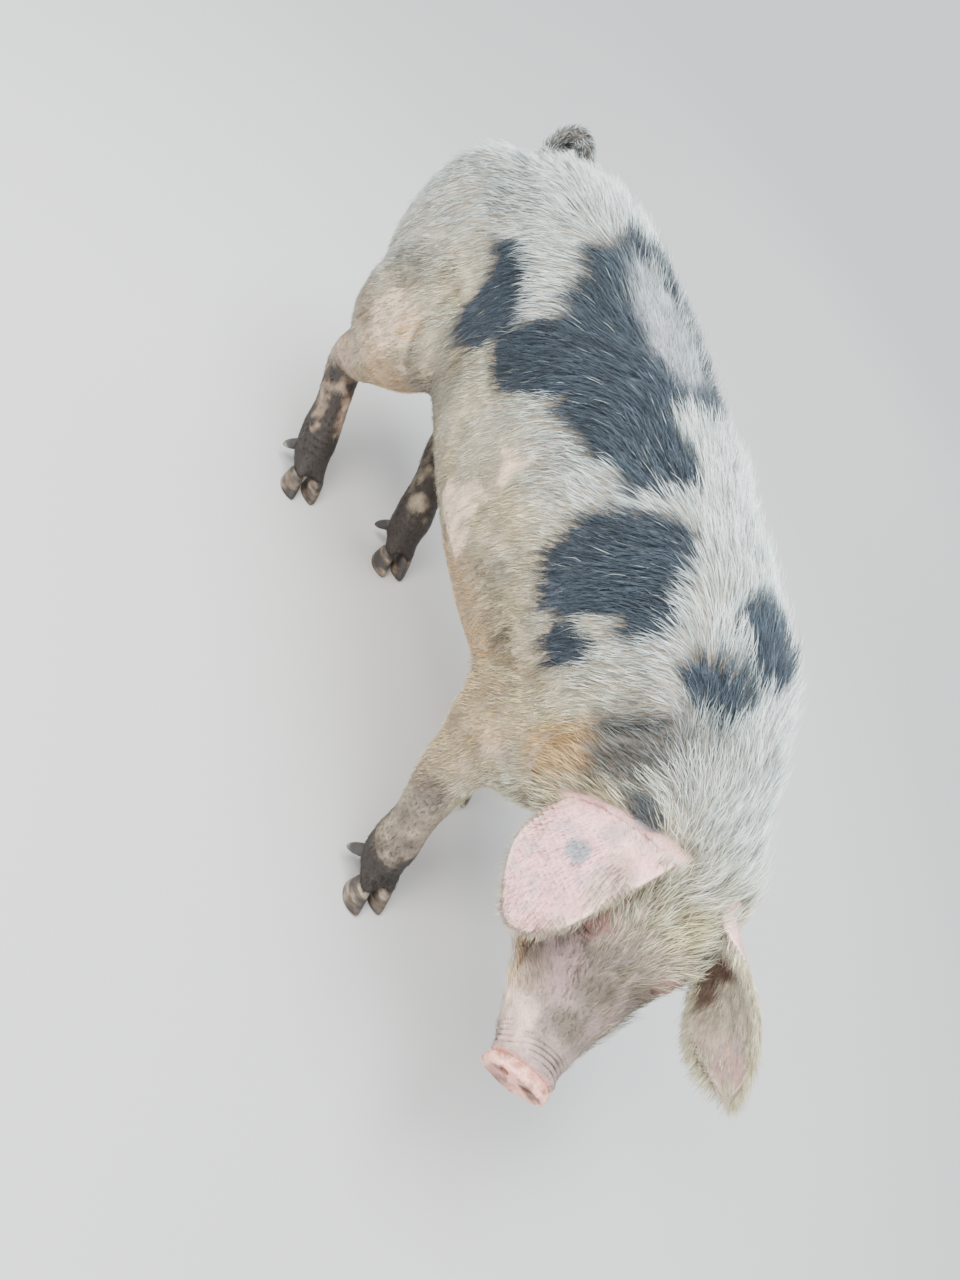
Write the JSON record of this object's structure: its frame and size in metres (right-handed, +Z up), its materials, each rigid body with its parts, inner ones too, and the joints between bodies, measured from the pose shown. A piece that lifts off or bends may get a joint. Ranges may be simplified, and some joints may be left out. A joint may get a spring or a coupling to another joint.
{
  "type": "domestic sow display model",
  "caption": "Still life-size model of a standing adult domestic sow, head lowered and turned to its right, with lop ears, curled tail and cloven hooves.",
  "frame": {"origin": "on the floor, under the middle of the animal's bounding box", "axes": "+Z up, the head points towards -Y, the animal's right side is at -X"},
  "size_m": [0.4676, 1.6978, 0.8374],
  "materials": {
    "body_coat": "short bristly cream and blue-grey coat",
    "leg_coat": "thin hair over pink-beige skin, brown lower down",
    "ear_skin": "thin pink skin with fine speckles and a cream fringe",
    "tail_skin": "grey skin with dark hair",
    "eyeball": "wet dark brown",
    "horn_pale": "worn brown horn",
    "horn_dark": "dark worn horn"
  },
  "bodies": {
    "root": {"torso": "body_coat", "neck": "body_coat", "head": "body_coat", "ear_left": "ear_skin", "ear_right": "ear_skin", "eye_left": "eyeball", "eye_right": "eyeball", "tail": "tail_skin", "leg_front_left": "leg_coat", "leg_front_right": "leg_coat", "leg_hind_left": "leg_coat", "leg_hind_right": "leg_coat", "leg_front_left_toe_left": "horn_pale", "leg_front_left_toe_right": "horn_pale", "leg_front_right_toe_left": "horn_pale", "leg_front_right_toe_right": "horn_pale", "leg_hind_left_toe_left": "horn_pale", "leg_hind_left_toe_right": "horn_pale", "leg_hind_right_toe_left": "horn_pale", "leg_hind_right_toe_right": "horn_pale", "leg_front_left_dewclaw_left": "horn_dark", "leg_front_left_dewclaw_right": "horn_dark", "leg_front_right_dewclaw_left": "horn_dark", "leg_front_right_dewclaw_right": "horn_dark", "leg_hind_left_dewclaw_left": "horn_dark", "leg_hind_left_dewclaw_right": "horn_dark", "leg_hind_right_dewclaw_left": "horn_dark", "leg_hind_right_dewclaw_right": "horn_dark"}
  },
  "joints": []
}
